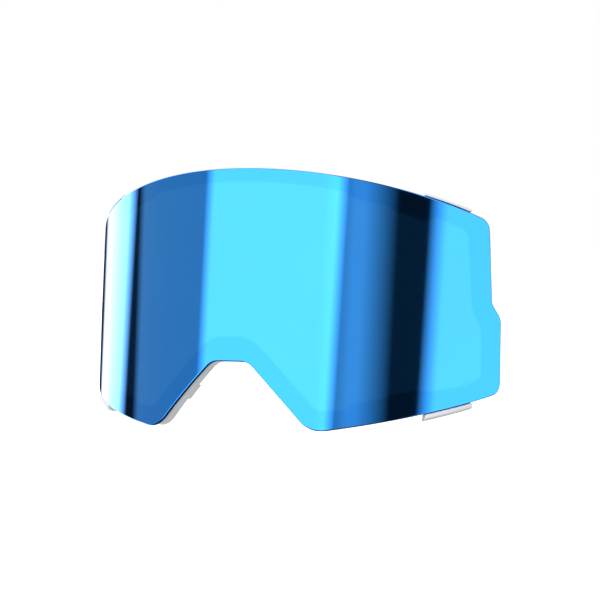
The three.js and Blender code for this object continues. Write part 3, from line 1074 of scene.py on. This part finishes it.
def shell(name, radius):
    bm = bmesh.new()
    bmesh.ops.create_uvsphere(bm, u_segments=96, v_segments=48, radius=radius)
    mesh = bpy.data.meshes.new(name)
    bm.to_mesh(mesh)
    bm.free()
    obj = new_object(name, mesh)
    for kind in ("camera", "diffuse", "transmission", "volume_scatter", "shadow"):
        setattr(obj, f"visible_{kind}", False)
    return obj


def lit_by(obj, receiver, excluded):
    """obj lights only the receiver, or everything else if excluded."""
    group = bpy.data.collections.new(f"{obj.name} receivers")
    group.objects.link(receiver)
    if excluded:
        group.collection_objects[0].light_linking.link_state = "EXCLUDE"
    obj.light_linking.receiver_collection = group


def make_panels():
    """The panels that the lens mirrors, and plain white for what the other pieces mirror."""
    panels = shell("light_panels", SHELL_RADIUS)
    material = bpy.data.materials.new("light_panels")
    material.use_nodes = True
    material.cycles.emission_sampling = "NONE"
    tree = material.node_tree
    tree.nodes.clear()

    def node(kind, inputs=None, **settings):
        made = tree.nodes.new(kind)
        for key, value in settings.items():
            setattr(made, key, value)
        for key, value in (inputs or {}).items():
            if isinstance(value, bpy.types.NodeSocket):
                tree.links.new(value, made.inputs[key])
            else:
                made.inputs[key].default_value = value
        return made

    def math_node(operation, *values):
        inputs = dict(enumerate(values))
        return node("ShaderNodeMath", inputs, operation=operation).outputs[0]

    def ramp(value, start, end, low, high):
        limits = {"From Min": start, "From Max": end, "To Min": low, "To Max": high}
        return node("ShaderNodeMapRange", {"Value": value, **limits}).outputs[0]

    def passed(angle, place, edge):
        """0 before the place and 1 after it, with a soft edge between."""
        return ramp(angle, place - edge / 2, place + edge / 2, 0, 1)

    place = node("ShaderNodeNewGeometry").outputs["Position"]
    xyz = node("ShaderNodeSeparateXYZ", {0: place}).outputs
    azimuth = math_node("DEGREES", math_node("ARCTAN2", xyz[0], math_node("MULTIPLY", xyz[1], -1)))
    sine = math_node("DIVIDE", xyz[2], SHELL_RADIUS)
    elevation = math_node("DEGREES", math_node("ARCSINE", sine))
    lowest, highest = LEAN_MIDDLE - LEAN_REACH, LEAN_MIDDLE + LEAN_REACH
    height = ramp(elevation, lowest, highest, -LEAN_REACH, LEAN_REACH)
    brightness = UNLIT
    for panel in WHITE_PANELS:
        angle = math_node("MULTIPLY_ADD", height, panel["lean"], azimuth)
        started = passed(angle, panel["start"], panel["edge"])
        ended = passed(angle, panel["end"], panel["edge"])
        amount = math_node("MULTIPLY", started, math_node("SUBTRACT", 1.0, ended))
        brightness = math_node("MULTIPLY_ADD", amount, panel["brightness"], brightness)
    # The panels end above the floor and below the ceiling.
    ends = math_node("MULTIPLY", ramp(elevation, -50, -28, 0.04, 1), ramp(elevation, 45, 70, 1, 0.2))
    strength = math_node("MULTIPLY", brightness, ends)
    light = node("ShaderNodeEmission", {"Color": (1, 1, 1, 1), "Strength": strength})
    clear = node("ShaderNodeBsdfTransparent")
    added = node("ShaderNodeAddShader", {0: light.outputs[0], 1: clear.outputs[0]})
    output = node("ShaderNodeOutputMaterial")
    tree.links.new(added.outputs[0], output.inputs["Surface"])
    panels.data.materials.append(material)
    lit_by(panels, lens, excluded=False)

    plain = shell("plain_white_studio", SHELL_RADIUS * 1.1)
    white = bpy.data.materials.new("plain_white_studio")
    white.use_nodes = True
    white.cycles.emission_sampling = "NONE"
    tree = white.node_tree
    tree.nodes.clear()
    place = node("ShaderNodeNewGeometry").outputs["Position"]
    height = node("ShaderNodeSeparateXYZ", {0: place}).outputs[2]
    light = node(
        "ShaderNodeEmission",
        {"Color": (1, 1, 1, 1), "Strength": ramp(height, -0.5, 2.0, 0.7, 1.1)},
    )
    output = node("ShaderNodeOutputMaterial")
    tree.links.new(light.outputs[0], output.inputs["Surface"])
    plain.data.materials.append(white)
    lit_by(plain, lens, excluded=True)


def soft_light(name, azimuth, elevation, distance, size, power):
    a, e = math.radians(azimuth), math.radians(elevation)
    towards = Vector((math.sin(a) * math.cos(e), -math.cos(a) * math.cos(e), math.sin(e)))
    data = bpy.data.lights.new(name, "AREA")
    data.shape = "DISK"
    data.size = size
    data.energy = power
    light = new_object(name, data)
    light.location = Vector((0, 0, 0.05)) + towards * distance
    light.rotation_euler = towards.to_track_quat("Z", "Y").to_euler()
    light.visible_camera = False
    light.visible_glossy = False


make_camera()
make_world()
make_floor()
make_panels()
soft_light("key_light", -10, 50, 1.6, 1.2, 28)
soft_light("fill_light", 60, 35, 1.8, 1.2, 1.6)
soft_light("back_light", 205, 50, 1.8, 1.2, 4)
